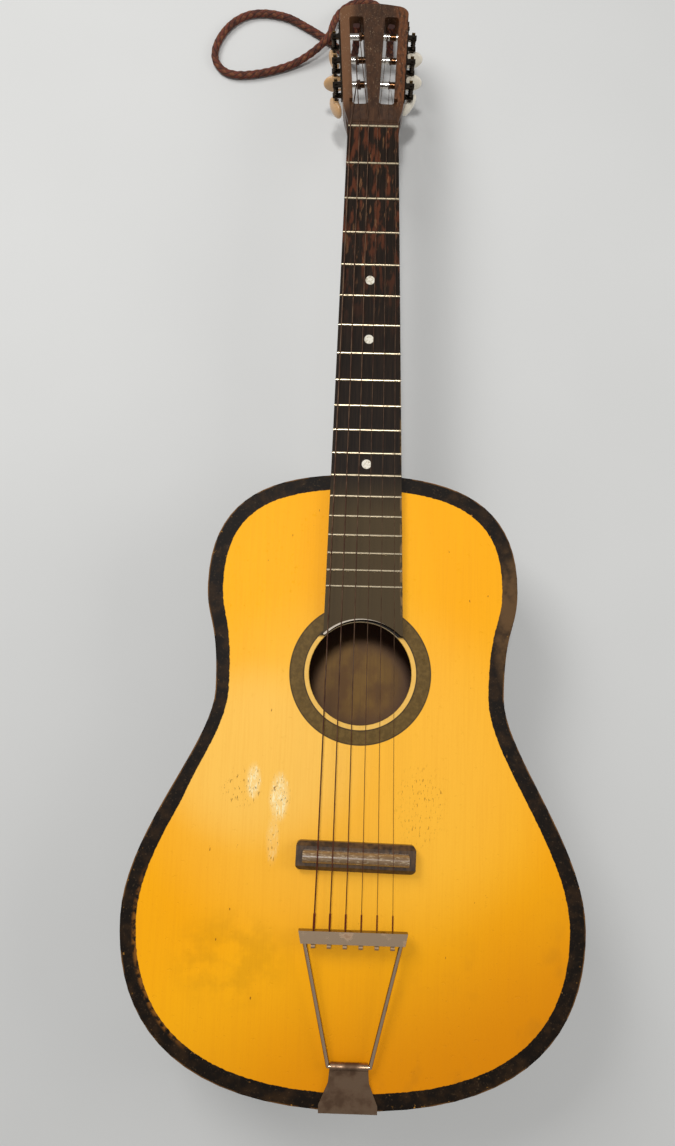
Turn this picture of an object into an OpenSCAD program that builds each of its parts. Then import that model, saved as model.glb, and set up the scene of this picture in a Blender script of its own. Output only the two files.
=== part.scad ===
// Six-string folk guitar, worn and damaged: flat-backed hollow body, slotted head with
// open worm machines, floating bridge and trapeze tailpiece. It lies on its back:
// +Y runs to the head, +X to the treble side, +Z up from the back. Millimetres.
// "Station" means distance from the nut line towards the tail.

/* [Scale] */
// String length that the frets are laid out for
scale_len = 650; // [540:1:780]
// How far the displaced bridge stands short of that length
bridge_short = 11; // [4:1:24]
// How far the twelfth fret lies inside the top edge of the body
joint_inset = 2; // [0:0.5:6]
// Frets on the fingerboard, without the zero fret
fret_count = 18; // [14:1:19]

/* [Body] */
// Length of the body along the centre line
body_len = 508; // [420:1:610]
// Depth of the body over both boards
body_depth = 95; // [78:1:115]
// Half width of the upper bout
upper_half = 130.5; // [108:0.5:157]
// Half width of the waist
waist_half = 119.5; // [99:0.5:128]
// Half width of the lower bout
lower_half = 186.5; // [155:0.5:224]
// Widest point of the upper bout, from the body's top edge
upper_at = 97; // [80:1:110]
// Narrowest point of the waist, from the body's top edge
waist_at = 186; // [165:1:215]
// Widest point of the lower bout, from the body's top edge
lower_at = 368; // [330:1:400]
// Thickness of the soundboard
board_t = 2.8; // [2:0.1:4]
// Thickness of the back
back_t = 2.8; // [2:0.1:4]
// Thickness of the bent sides
side_t = 2.2; // [1.6:0.1:3]
// Radius of the soundhole
hole_r = 42.7; // [35:0.1:52]
// Soundhole centre, from the body's top edge
hole_at = 169.3; // [150:0.1:190]

/* [Inside] */
// Width of the kerfed linings
lining_w = 6; // [4:0.5:8]
// Height of the kerfed linings
lining_h = 13; // [8:1:18]
// Width of a brace
brace_w = 8; // [5:0.5:12]
// Height of a brace
brace_h = 12; // [8:1:16]
// Stations of the soundboard braces, from the body's top edge
top_brace_at = [64, 112, 232, 345, 425]; // [40:1:460]
// Stations of the back braces, from the body's top edge
back_brace_at = [84, 238, 392]; // [40:1:460]
// Width of the neck block
neck_block_w = 66; // [50:1:80]
// Length of the neck block
neck_block_l = 42; // [30:1:55]
// Width of the tail block
tail_block_w = 64; // [50:1:80]
// Thickness of the tail block at the centre line
tail_block_l = 17; // [12:1:24]
// Gap that keeps braces and blocks off the linings
inner_gap = 0.3; // [0.1:0.1:1]

/* [Neck] */
// Fingerboard width at the nut line
nut_w = 46; // [42:0.5:52]
// Fingerboard width at the body joint
joint_w = 60; // [54:0.5:66]
// Thickness of the fingerboard
board_neck_t = 6.5; // [4.5:0.1:8]
// Neck thickness under the fingerboard at the nut
neck_t_nut = 14; // [11:0.5:18]
// Neck thickness under the fingerboard at the body
neck_t_joint = 17; // [14:0.5:22]
// Angle the neck leans back
set_back = 0.65; // [0:0.05:2]
// Angle the loosened neck has pulled round towards the bass side
neck_turn = 0.5; // [0:0.1:1.5]
// Distance of the fingerboard's corners from the soundhole's centre, along the strings
board_end_gap = 31.5; // [20:0.5:60]
// Distance that the arc cut into the fingerboard's end keeps from the soundhole's edge
board_arc_gap = 1.8; // [0.5:0.1:8]
// Height of a fret's crown
fret_h = 1.0; // [0.6:0.1:1.5]
// Width of a fret's crown
fret_w = 2.3; // [1.6:0.1:3]
// Radius of the position dots
dot_r = 4.1; // [2.5:0.1:5]
// Thickness of the wooden string guide behind the zero fret
guide_t = 3.5; // [2.5:0.1:6]

/* [Head] */
// Length of the head from the nut line
head_len = 167; // [150:1:190]
// Thickness of the head
head_t = 17; // [15:0.5:22]
// Angle of the head to the neck
head_tilt = 14.5; // [8:0.5:18]
// Half width of the head where its sides' lines meet the nut line
head_half = 26.4; // [24:0.1:30]
// Angle each side of the head spreads
side_angle = 2.7; // [0:0.1:4]
// Radius of the head's corners
head_corner_r = 11; // [5:0.5:14]
// Height of the arch along the head's end
head_arch = 3; // [1:0.5:8]
// Thickness of the cheek outside each slot
cheek = 9; // [7:0.1:11]
// Width of a slot
slot_w = 13.8; // [12:0.1:16]
// Lower end of the slots, from the nut line
slot_from = 31.4; // [28:0.1:38]
// Upper end of the slots, from the nut line
slot_to = 147; // [140:0.5:158]

/* [Machines] */
// First roller's distance from the nut line
roller_first = 63.4; // [58:0.1:68]
// Spacing of the rollers
roller_pitch = 33.2; // [30:0.1:36]
// Depth of the roller axes under the head's face
roller_depth = 8.5; // [7:0.1:10]
// Radius of a roller
roller_r = 3; // [2.4:0.1:3.6]
// Radius of the roller's tip in the centre rib
tip_r = 2.4; // [1.8:0.1:3]
// How far the tip goes into the centre rib
tip_len = 4.4; // [2:0.1:5]
// Running clearance around every turning shaft
run_gap = 0.06; // [0.02:0.01:0.1]
// Teeth of a gear
gear_teeth = 14; // [12:1:18]
// Lead of the worm, one tooth a turn
worm_lead = 2.2; // [1.8:0.1:2.8]
// Crest radius of the worm
worm_r = 2.5; // [2.2:0.1:3]
// Depth of the worm's thread
thread_h = 0.8; // [0.6:0.1:1]
// Radius of the worm's shaft
shaft_r = 1.5; // [1.2:0.1:1.6]
// Thickness of a gear
gear_t = 3.2; // [2:0.1:4]
// Distance of the gears' middle plane from the cheek
gear_mid = 6; // [4.6:0.1:6.5]
// Thickness of the side plates
plate_t = 1.2; // [0.8:0.1:1.6]
// Width of the side plates
plate_w = 13; // [11:0.5:15]
// How far each side plate runs past its end rollers
plate_over = 15; // [12:1:18]
// Width of a button
button_w = 22; // [16:0.5:22]
// Thickness of a button
button_t = 8; // [6:0.5:10]
// Height of a button along its shaft
button_h = 17; // [14:0.5:20]
// Depth of a button's top under the head's face
button_top = 19; // [18.5:0.5:24]
// Turn of each button about its shaft, bass to treble
button_turn = [66, 0, 72, 8, 0, 60]; // [-90:1:90]
// How much higher the button of each straight machine sits on its shaft
button_lift = [0, 0, 0, 2, 3]; // [0:0.5:3]
// Bend of the sixth machine's shaft towards the head's tip
shaft_bend = 26; // [0:1:30]

/* [Bridge and tailpiece] */
// Length of the bridge across the strings
bridge_len = 96; // [80:1:115]
// Width of the bridge along the strings
bridge_w = 22.5; // [18:0.5:27]
// Height of the bridge's base
bridge_base_h = 9; // [6:0.5:12]
// Height of the string crest over the soundboard
crest_h = 16.5; // [13:0.5:20]
// Length of the crest strip
crest_len = 85; // [72:1:90]
// Width of the crest strip
crest_w = 10; // [6:0.5:12]
// Turn of the slipped bridge
bridge_turn = -0.9; // [-4:0.1:4]
// Sideways slip of the bridge
bridge_slip = 0.5; // [-6:0.1:6]
// Distance from the bridge's crest to the tailpiece bar's front
after_len = 55; // [35:1:80]
// Height of the bar's string holes over the soundboard
bar_h = 11.5; // [9:0.5:16]
// Length of the bar across the strings
bar_len = 86; // [80:1:100]
// Width of the bar along the strings
bar_w = 9.5; // [8:0.5:12]
// Height of the bar's folded channel
bar_deep = 7; // [6:0.5:9]
// Sheet thickness of the tailpiece
sheet_t = 1.3; // [1:0.1:2]
// Radius of the trapeze wire
wire_r = 1.6; // [1:0.1:1.8]
// Half distance between the wire's legs at the bar
leg_half = 38; // [34:0.5:42]
// Half distance between the wire's legs at the hinge
hinge_half = 16.5; // [12:0.5:22]
// Distance of the hinge from the tail edge
hinge_at = 35; // [26:1:50]
// Height of the hinge over the soundboard
hinge_h = 6; // [4:0.5:9]
// Width of the tail plate at the hinge
plate_top_w = 29; // [24:0.5:30]
// Width of the tail plate at the tail edge
plate_tail_w = 46; // [38:0.5:56]
// How far the plate bends down the tail
plate_drop = 24; // [20:1:36]
// Radius of the tailpiece screws
screw_r = 1.75; // [1.4:0.05:2.2]
// Length of the tailpiece screws
screw_len = 15; // [12:1:17]

/* [Strings] */
// Diameters of the strings, bass to treble
gauge = [1.15, 0.95, 0.8, 0.5, 0.42, 0.36]; // [0.3:0.01:1.4]
// String spacing at the nut line
nut_pitch = 8.2; // [7:0.1:9]
// String spacing at the bridge
bridge_pitch = 12; // [10:0.1:13]
// String spacing at the tailpiece bar
bar_pitch = 12.5; // [11:0.1:14]
// Length of the twisted lock at each ball end
lock_len = 13; // [8:1:18]
// Gap between a string's turns and its roller
wrap_gap = 0.15; // [0.1:0.01:0.3]

/* [Hanging cord] */
// Diameter of the braided cord
cord_d = 7.5; // [6:0.5:8]

/* [Hidden] */
$fn = 64;
hull_fn = 32;
eps = 0.01;
seat = 0.02;
strings = 6;
rows = strings / 2;
outline_steps = 18;

// The body's outline runs through four cubic curves; these are the lengths of their handles.
top_handle = 80;
upper_head_handle = 75;
upper_waist_handle = 33;
waist_upper_handle = 60;
waist_lower_handle = 44;
lower_waist_handle = 66;
lower_tail_handle = 69;
tail_handle = 150;

function fret_station(n) = scale_len * (1 - pow(2, -n / 12));

body_from = fret_station(12) - joint_inset;
body_to = body_from + body_len;
hole_s = body_from + hole_at;
saddle_s = scale_len - bridge_short;
bar_s = saddle_s + after_len;
hinge_s = body_to - hinge_at;
inner_top = body_depth - board_t;

// The origin lies midway between the tailpiece's screw heads and the tip of the head.
head_reach = body_from + head_len * cos(head_tilt + set_back);
screw_head_h = 1.8;
row_y = (body_to + sheet_t + screw_head_h - (head_reach - body_from)) / 2;

// Outline of the body, as half width against the distance from its top edge.
function bezier(a, b, c, d, t) =
    pow(1 - t, 3) * a + 3 * pow(1 - t, 2) * t * b + 3 * (1 - t) * t * t * c + pow(t, 3) * d;
function slope(a, b, c, d, t) =
    3 * pow(1 - t, 2) * (b - a) + 6 * (1 - t) * t * (c - b) + 3 * t * t * (d - c);
bouts = [
    [[0, 0], [top_handle, 0], [upper_half, upper_at - upper_head_handle], [upper_half, upper_at]],
    [[upper_half, upper_at], [upper_half, upper_at + upper_waist_handle],
     [waist_half, waist_at - waist_upper_handle], [waist_half, waist_at]],
    [[waist_half, waist_at], [waist_half, waist_at + waist_lower_handle],
     [lower_half, lower_at - lower_waist_handle], [lower_half, lower_at]],
    [[lower_half, lower_at], [lower_half, lower_at + lower_tail_handle],
     [tail_handle, body_len], [0, body_len]]];
function edge_point(c, t, inset) =
    let (p = bezier(c[0], c[1], c[2], c[3], t), d = slope(c[0], c[1], c[2], c[3], t))
    p + inset * [-d.y, d.x] / norm(d);
function half_outline(inset) = concat(
    [for (c = bouts, k = [0 : outline_steps - 1]) edge_point(c, k / outline_steps, inset)],
    [[0, body_len - inset]]);
function outline(inset) = let (h = half_outline(inset), n = len(h)) concat(
    [for (p = h) [p.x, -body_from - p.y]],
    [for (k = [n - 2 : -1 : 1]) [-h[k].x, -body_from - h[k].y]]);

// Turning of points and the frames that the neck, the head and the machines stand in.
function turn_x(a, p) = [p.x, p.y * cos(a) - p.z * sin(a), p.y * sin(a) + p.z * cos(a)];
function turn_z(a, p) = [p.x * cos(a) - p.y * sin(a), p.x * sin(a) + p.y * cos(a), p.z];
function neck_point(p) = [0, -body_from, body_depth] + turn_z(neck_turn, turn_x(-set_back, p));
function head_point(p) = neck_point([0, body_from, board_neck_t] + turn_x(-head_tilt, p));
function side_point(side, p) =
    let (q = [head_half, 0, 0] + turn_z(-side_angle, p)) head_point([side * q.x, q.y, q.z]);

module in_row() { translate([0, row_y, 0]) children(); }
module board_frame() { translate([0, -body_from, body_depth]) rotate([0, 0, neck_turn]) children(); }
module neck_frame() { board_frame() rotate([-set_back, 0, 0]) children(); }
module head_frame() {
    neck_frame() translate([0, body_from, board_neck_t]) rotate([-head_tilt, 0, 0]) children();
}
module side_frame(side) {
    head_frame() mirror([side < 0 ? 1 : 0, 0, 0])
        translate([head_half, 0, 0]) rotate([0, 0, -side_angle]) children();
}

// Machines count from the bass string; 1 to 3 stand on the bass cheek, 4 to 6 on the treble one.
function machine_side(i) = i <= rows ? -1 : 1;
function machine_row(i) = i <= rows ? i - 1 : strings - i;
function roller_at(row) = roller_first + row * roller_pitch;
module machine_frame(i) {
    side_frame(machine_side(i)) translate([0, roller_at(machine_row(i)), -roller_depth]) children();
}

slot_in = cheek + slot_w;
gear_pitch_r = gear_teeth * worm_lead / 360 * 180 / PI;
worm_offset = gear_pitch_r + worm_r - thread_h / 2;
tip_clear = 0.15;
root_clear = 0.2;
tooth_tip_half = 0.24;
tooth_root_half = 0.52;
gear_tip_r = worm_offset - worm_r + thread_h - tip_clear;
gear_root_r = worm_offset - worm_r - root_clear;
worm_half = 5;
end_play = 0.2;
tab_in = worm_half + end_play;
tab_t = 1.2;
tab_half = 3;
spigot_r = 2;
bearing_r = shaft_r + run_gap;

module rod(p, q, r) {
    d = q - p;
    length = norm(d);
    translate(p) rotate([0, acos(d.z / length), atan2(d.y, d.x)]) cylinder(h = length, r = r);
}

module rounded_bar(w, l, r) {
    translate([-w / 2, r]) square([w, l - 2 * r]);
    translate([-w / 2 + r, 0]) square([w - 2 * r, l]);
    for (x = [-1, 1], y = [r, l - r]) translate([x * (w / 2 - r), y]) circle(r);
}

module along_x(w) { rotate([90, 0, 90]) linear_extrude(height = w, center = true) children(); }

// ---- Body ----
module body_slab(z, h, inset) { translate([0, 0, z]) linear_extrude(height = h) polygon(outline(inset)); }

module soundboard() {
    color("orange") in_row() difference() {
        body_slab(inner_top, board_t, 0);
        translate([0, -hole_s, inner_top - 1]) cylinder(h = board_t + 2, r = hole_r);
    }
}

module back_plate() { color("sienna") in_row() body_slab(0, back_t, 0); }

tail_screws = [[-12, -8], [12, -8], [0, -17]];
module tail_screws_at() {
    for (p = tail_screws)
        translate([p.x, -body_to, body_depth + p.y]) rotate([-90, 0, 0]) children();
}

module side_half(side) {
    in_row() difference() {
        intersection() {
            difference() {
                body_slab(back_t, inner_top - back_t, 0);
                body_slab(back_t - 1, inner_top - back_t + 2, side_t);
            }
            translate([side > 0 ? 0 : -2 * lower_half, -body_to - 1, 0])
                cube([2 * lower_half, body_len + 2, body_depth]);
        }
        tail_screws_at() translate([0, 0, -5]) cylinder(h = 10, r = screw_r + seat);
    }
}
module side_bass() { color("#33291f") side_half(-1); }
module side_treble() { color("#33291f") side_half(1); }

module neck_block() {
    color("burlywood") in_row() intersection() {
        body_slab(back_t, inner_top - back_t, side_t);
        translate([-neck_block_w / 2, -body_from - neck_block_l, 0])
            cube([neck_block_w, neck_block_l, body_depth]);
    }
}

module tail_block() {
    color("burlywood") in_row() difference() {
        intersection() {
            body_slab(back_t, inner_top - back_t, side_t);
            translate([-tail_block_w / 2, -body_to, 0])
                cube([tail_block_w, side_t + tail_block_l, body_depth]);
        }
        tail_screws_at() translate([0, 0, -5]) cylinder(h = screw_len + 5, r = screw_r + seat);
    }
}

module linings() {
    color("burlywood") in_row() difference() {
        union() {
            body_slab(back_t, lining_h, side_t);
            body_slab(inner_top - lining_h, lining_h, side_t);
        }
        body_slab(0, body_depth, side_t + lining_w);
        translate([-neck_block_w / 2 - inner_gap, -body_from - neck_block_l, 0])
            cube([neck_block_w + 2 * inner_gap, neck_block_l + 1, body_depth]);
        translate([-tail_block_w / 2 - inner_gap, -body_to - 1, 0])
            cube([tail_block_w + 2 * inner_gap, tail_block_l + 9, body_depth]);
    }
}

module braces(stations, z) {
    in_row() intersection() {
        body_slab(z, brace_h, side_t + lining_w + inner_gap);
        for (u = stations) translate([-lower_half, -body_from - u - brace_w / 2, z])
            cube([2 * lower_half, brace_w, brace_h]);
    }
}
module top_braces() { color("burlywood") braces(top_brace_at, inner_top - brace_h); }
module back_braces() { color("burlywood") braces(back_brace_at, back_t); }

// ---- Neck ----
function board_half(y) = nut_w / 2 + (joint_w - nut_w) / 2 * (body_from - y) / body_from;

module neck_section(y, half, depth) {
    translate([0, y, 0]) rotate([90, 0, 0]) linear_extrude(height = eps)
        polygon([for (a = [180 : 360 / hull_fn : 360]) [half * cos(a), depth * sin(a)]]);
}

module heel_section(z, half, reach) {
    translate([0, 0, z]) linear_extrude(height = eps)
        polygon([for (a = [0 : 180 / hull_fn * 2 : 180]) [half * cos(a), reach * sin(a)]]);
}

// Heel sections from the neck down: height, half width and reach from the body.
heel_steps = [[-neck_t_joint + 4, 27, 46], [-neck_t_joint - 14, 19, 24],
              [-body_depth * 0.62, 14.5, 15.5], [-body_depth + 4, 13, 12.5]];

shoulder_from = 6;
shoulder_to = 24;
ease_in = 0.5;
ease_out = 1.2;
ease_near = 2;
ease_mid = 3;
ease_far = 4;
function head_edge(t) = head_half + t * tan(side_angle);
function head_shape() = let (
        r = head_corner_r, side_end = head_len - head_arch - r, x_end = head_edge(side_end) - r)
    concat([[board_half(body_from), guide_t + ease_near],
            [board_half(body_from) + ease_in, shoulder_from + ease_near],
            [head_edge(shoulder_to) - ease_out, shoulder_to - ease_far],
            [head_edge(shoulder_to), shoulder_to + ease_mid]],
           [for (a = [0 : 15 : 75]) [x_end + r * cos(a), side_end + r * sin(a)]],
           [for (k = [0.8, 0.55, 0.3]) [k * x_end, head_len - head_arch * k * k]]);

module head_blank() {
    h = head_shape();
    translate([0, 0, -head_t]) linear_extrude(height = head_t) polygon(concat(
        h, [[0, head_len]], [for (k = [len(h) - 1 : -1 : 0]) [-h[k].x, h[k].y]]));
}

// The slots' lower ends run out into worn ramps under the strings.
ramp_from = 8;
ramp_to = slot_from + 4;
ramp_deep = 3.6;
ramp_out = cheek - 3.2;
slot_corner = 3;
tip_room = 0.3;

module head_cuts() {
    translate([-cheek - slot_w / 2, slot_from, -head_t - 1])
        linear_extrude(height = head_t + 2) rounded_bar(slot_w, slot_to - slot_from, slot_corner);
    translate([-(ramp_out + slot_in) / 2, 0, 0]) along_x(slot_in - ramp_out)
        polygon([[ramp_from, 0], [ramp_from, 1], [ramp_to, 1], [ramp_to, -ramp_deep]]);
    for (row = [0 : rows - 1]) translate([0, roller_at(row), -roller_depth]) {
        translate([-cheek - 1, 0, 0]) rotate([0, 90, 0]) cylinder(h = cheek + 2, r = roller_r + run_gap);
        translate([-slot_in - tip_len - tip_room, 0, 0]) rotate([0, 90, 0])
            cylinder(h = tip_len + 1, r = tip_r + run_gap);
    }
    plate_screws_at() translate([-plate_screw_len, 0, 0]) rotate([0, 90, 0])
        cylinder(h = plate_screw_len + 1, r = plate_screw_r + seat);
}

module neck() {
    color("saddlebrown") in_row() difference() {
        union() {
            neck_frame() hull() {
                neck_section(-12, board_half(0), neck_t_joint);
                neck_section(body_from + guide_t, board_half(body_from), neck_t_nut);
            }
            board_frame() for (k = [0 : len(heel_steps) - 2]) hull() {
                heel_section(heel_steps[k][0], heel_steps[k][1], heel_steps[k][2]);
                heel_section(heel_steps[k + 1][0], heel_steps[k + 1][1], heel_steps[k + 1][2]);
            }
            head_frame() head_blank();
            hull() {
                neck_frame() neck_section(body_from - 8, board_half(body_from), neck_t_nut);
                head_frame() translate([-head_half, shoulder_to, -head_t])
                    cube([2 * head_half, eps, head_t - 1]);
            }
        }
        body_slab(-5, body_depth + 15, 0);
        neck_frame() translate([-nut_w, body_from - 20, 0])
            cube([2 * nut_w, 20 + guide_end, 2 * board_neck_t]);
        for (side = [-1, 1]) side_frame(side) head_cuts();
    }
}

board_past_nut = 1.6;
guide_drop = 1.4;
guide_end = board_past_nut + guide_t;

module board_shape(y0, y1) {
    polygon([[-board_half(y0), y0], [board_half(y0), y0], [board_half(y1), y1], [-board_half(y1), y1]]);
}

slot_kerf = 0.6;
tang_w = 0.5;
tang_h = 1.7;
kerf_h = 1.9;
board_inner = -(hole_s - board_end_gap - body_from);
board_arc_r = hole_r + board_arc_gap;

module fret_places(first, last) {
    for (n = [first : last]) translate([0, body_from - fret_station(n), board_neck_t])
        along_x(2 * board_half(body_from - fret_station(n)) - 0.6) children();
}
dotted_frets = [5, 7, 12];
function dot_y(n) = body_from - (fret_station(n) + fret_station(n - 1)) / 2;
module dot_places() {
    for (n = dotted_frets) neck_frame() translate([0, dot_y(n), board_neck_t]) children();
}
dot_deep = 1.5;
dot_proud = 0.15;

module fingerboard() {
    color("#33251c") in_row() difference() {
        union() {
            neck_frame() linear_extrude(height = board_neck_t) board_shape(-eps, body_from + board_past_nut);
            board_frame() difference() {
                linear_extrude(height = board_neck_t) board_shape(board_inner, 0);
                translate([0, body_from - hole_s, -1]) cylinder(h = 2 * board_neck_t, r = board_arc_r);
            }
        }
        neck_frame() fret_places(0, 11) translate([-slot_kerf / 2, -kerf_h]) square([slot_kerf, kerf_h + 1]);
        board_frame() fret_places(12, fret_count)
            translate([-slot_kerf / 2, -kerf_h]) square([slot_kerf, kerf_h + 1]);
        dot_places() translate([0, 0, -dot_deep]) cylinder(h = dot_deep + 1, r = dot_r);
    }
}

module fret_profile() {
    crown_r = (fret_h * fret_h + fret_w * fret_w / 4) / (2 * fret_h);
    reach = asin(fret_w / 2 / crown_r);
    polygon(concat(
        [[-fret_w / 2, 0], [-tang_w / 2, 0], [-tang_w / 2, -tang_h], [tang_w / 2, -tang_h], [tang_w / 2, 0]],
        [for (k = [4 : -1 : -3]) let (a = reach * k / 4)
            [crown_r * sin(a), fret_h - crown_r * (1 - cos(a))]]));
}

module frets() {
    color("#9c8f6a") in_row() {
        neck_frame() fret_places(0, 11) fret_profile();
        board_frame() fret_places(12, fret_count) fret_profile();
    }
}

module position_dots() {
    color("ivory") in_row() dot_places() translate([0, 0, -dot_deep + seat])
        cylinder(h = dot_deep + dot_proud, r = dot_r - seat);
}

module string_guide() {
    color("saddlebrown") in_row() neck_frame() translate([0, body_from + board_past_nut + seat, 0])
        linear_extrude(height = board_neck_t - guide_drop)
            translate([-nut_w / 2, 0]) square([nut_w, guide_t - 2 * seat]);
}

// ---- Machines ----
plate_screw_r = 1;
plate_screw_len = 7;
plate_screw_off = 8.5;
plate_screw_edge = 2.6;
plate_head_h = 0.7;
plate_head_r = 1.8;
plate_mid = roller_at((rows - 1) / 2);
plate_len = (rows - 1) * roller_pitch + 2 * plate_over;

module plate_screws_at() {
    for (row = [0 : rows - 1], z = [-1, 1])
        translate([0, roller_at(row) + plate_screw_off,
                   -roller_depth + z * (plate_w / 2 - plate_screw_edge)]) children();
}

module tuner_plate(side) {
    in_row() side_frame(side) difference() {
        union() {
            translate([0, plate_mid - plate_len / 2, -roller_depth - plate_w / 2])
                cube([plate_t, plate_len, plate_w]);
            for (row = [0 : rows - 1], end = [-1, 1])
                translate([0, roller_at(row) - worm_offset - tab_half,
                           -roller_depth + (end > 0 ? tab_in : -tab_in - tab_t)])
                    cube([gear_mid + tab_half, 2 * tab_half, tab_t]);
        }
        for (row = [0 : rows - 1]) translate([0, roller_at(row), -roller_depth]) {
            translate([-1, 0, 0]) rotate([0, 90, 0]) cylinder(h = plate_t + 2, r = roller_r + run_gap);
            translate([gear_mid, -worm_offset, -tab_in - 2 * tab_t])
                cylinder(h = 2 * tab_in + 4 * tab_t, r = bearing_r);
        }
        plate_screws_at() translate([-1, 0, 0]) rotate([0, 90, 0])
            cylinder(h = plate_t + 2, r = plate_screw_r + seat);
    }
}
module tuner_plate_bass() { color("#3a3833") tuner_plate(-1); }
module tuner_plate_treble() { color("#3a3833") tuner_plate(1); }

driver_w = 0.5;
module screw_slot(head_r, deep) {
    half = head_r + driver_w;
    translate([-half, -driver_w / 2, -deep]) cube([2 * half, driver_w, 2 * deep]);
}

module tuner_plate_screws() {
    color("#55524a") in_row() for (side = [-1, 1]) side_frame(side) plate_screws_at()
        rotate([0, 90, 0]) difference() {
            union() {
                translate([0, 0, 1 - plate_screw_len])
                    cylinder(h = plate_screw_len + plate_t - 1, r = plate_screw_r);
                translate([0, 0, plate_t]) cylinder(h = plate_head_h, r = plate_head_r);
            }
            translate([0, 0, plate_t + plate_head_h]) screw_slot(plate_head_r, plate_head_h / 2);
        }
}

// One turn of thread seen along the shaft: crest, flanks and root.
crest_to = 35;
root_from = 90;
function thread_r(a) =
    let (off = abs((a + 180) % 360 - 180), down = (off - crest_to) / (root_from - crest_to))
    worm_r - thread_h * min(max(down, 0), 1);
thread_points = 16;

module worm() {
    turns = 2 * worm_half / worm_lead;
    phase = 90 - 180 * turns;
    translate([0, 0, -worm_half]) rotate([0, 0, phase])
        linear_extrude(height = 2 * worm_half, twist = -360 * turns, slices = round(9 * turns), $fn = 4)
            polygon([for (k = [0 : thread_points - 1]) let (a = 360 * k / thread_points)
                thread_r(a) * [cos(a), sin(a)]]);
}

shaft_proud = 0.9;
shaft_top = tab_in + tab_t + shaft_proud;
shaft_in = 7;
bend_gap = 1.6;
bend_at = -(tab_in + tab_t + bend_gap);
function button_low(i) = button_top - roller_depth - (i == strings ? 0 : button_lift[i - 1]);
kink_swell = 0.3;

// Frame of a button: its top face at the origin, its shaft along Z; the sixth leans over.
module button_frame(i) {
    machine_frame(i) translate([gear_mid, -worm_offset, 0])
        if (i == strings) translate([0, 0, bend_at]) rotate([shaft_bend, 0, 0])
            translate([0, 0, -button_low(i) - bend_at]) children();
        else translate([0, 0, -button_low(i)]) children();
}

module worm_shaft(i) {
    color("#4a463e") in_row() {
        machine_frame(i) translate([gear_mid, -worm_offset, 0]) {
            worm();
            if (i == strings) {
                translate([0, 0, bend_at]) cylinder(h = shaft_top - bend_at, r = shaft_r);
                translate([0, 0, bend_at]) sphere(r = shaft_r + kink_swell);
            }
            else translate([0, 0, -button_low(i) - shaft_in])
                cylinder(h = shaft_top + button_low(i) + shaft_in, r = shaft_r);
        }
        if (i == strings) button_frame(i) translate([0, 0, -shaft_in])
            cylinder(h = shaft_in + button_low(i) + bend_at, r = shaft_r);
    }
}

button_fn = 22;
collar_h = 3.5;
collar_r = 2.9;
module button(i) {
    color("ivory") in_row() button_frame(i) rotate([0, 0, button_turn[i - 1]]) difference() {
        union() {
            translate([0, 0, -button_h / 2]) scale([button_w / 2, button_t / 2, button_h / 2])
                sphere(r = 1, $fn = button_fn);
            translate([0, 0, -collar_h]) cylinder(h = collar_h, r = collar_r);
        }
        translate([0, 0, -shaft_in - seat]) cylinder(h = shaft_in + 1, r = shaft_r + seat);
    }
}

module gear(i) {
    pitch_turn = 360 / gear_teeth;
    tip = tooth_tip_half / gear_tip_r * 180 / PI;
    root = tooth_root_half / gear_root_r * 180 / PI;
    color("#8a7440") in_row() machine_frame(i) translate([gear_mid - gear_t / 2, 0, 0])
        rotate([90, 0, 90]) linear_extrude(height = gear_t) difference() {
            polygon([for (k = [0 : gear_teeth - 1]) let (a = (k + 0.5) * pitch_turn + 180)
                each [gear_root_r * [cos(a - root), sin(a - root)],
                      gear_tip_r * [cos(a - tip), sin(a - tip)],
                      gear_tip_r * [cos(a + tip), sin(a + tip)],
                      gear_root_r * [cos(a + root), sin(a + root)]]]);
            circle(spigot_r + seat);
        }
}

gear_screw_r = 1;
gear_screw_len = 6;
gear_head_h = 1.2;
gear_head_r = 2.7;

module gear_screw(i) {
    color("#55524a") in_row() machine_frame(i) translate([gear_mid + gear_t / 2, 0, 0]) rotate([0, 90, 0])
        difference() {
            union() {
                translate([0, 0, -gear_screw_len]) cylinder(h = gear_screw_len + eps, r = gear_screw_r);
                cylinder(h = gear_head_h, r = gear_head_r);
            }
            translate([0, 0, gear_head_h]) screw_slot(gear_head_r, gear_head_h / 2);
        }
}

module roller(i) {
    color("#b9b4a6") in_row() machine_frame(i) rotate([0, 90, 0]) difference() {
        union() {
            translate([0, 0, -slot_in - tip_len]) cylinder(h = tip_len + 2, r = tip_r);
            translate([0, 0, -slot_in + tip_room])
                cylinder(h = slot_in + gear_mid - gear_t / 2 - tip_room, r = roller_r);
            cylinder(h = gear_mid + gear_t / 2 - seat, r = spigot_r);
        }
        translate([0, 0, gear_mid + gear_t / 2 - gear_screw_len - seat])
            cylinder(h = gear_screw_len + 1, r = gear_screw_r + seat);
    }
}

// ---- Bridge and tailpiece ----
module bridge_frame() {
    translate([bridge_slip, -saddle_s, body_depth]) rotate([0, 0, bridge_turn]) children();
}
bevel = 3.5;
crest_seat = 1.5;
bridge_corner = 4;
crest_corner = 1.5;
crest_foot = 1;

module bridge_base() {
    half = bridge_w / 2;
    color("#3d2c1e") in_row() bridge_frame() difference() {
        intersection() {
            translate([0, -half, 0]) linear_extrude(height = bridge_base_h)
                rounded_bar(bridge_len, bridge_w, bridge_corner);
            along_x(bridge_len + 2) polygon([
                [-half - 1, 0], [half + 1, 0], [half + 1, bridge_base_h - bevel - 1],
                [half - bevel, bridge_base_h], [-half + bevel, bridge_base_h],
                [-half - 1, bridge_base_h - bevel - 1]]);
        }
        translate([0, -crest_w / 2, bridge_base_h - crest_seat]) linear_extrude(height = 2 * crest_seat)
            rounded_bar(crest_len, crest_w, crest_corner);
    }
}

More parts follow.
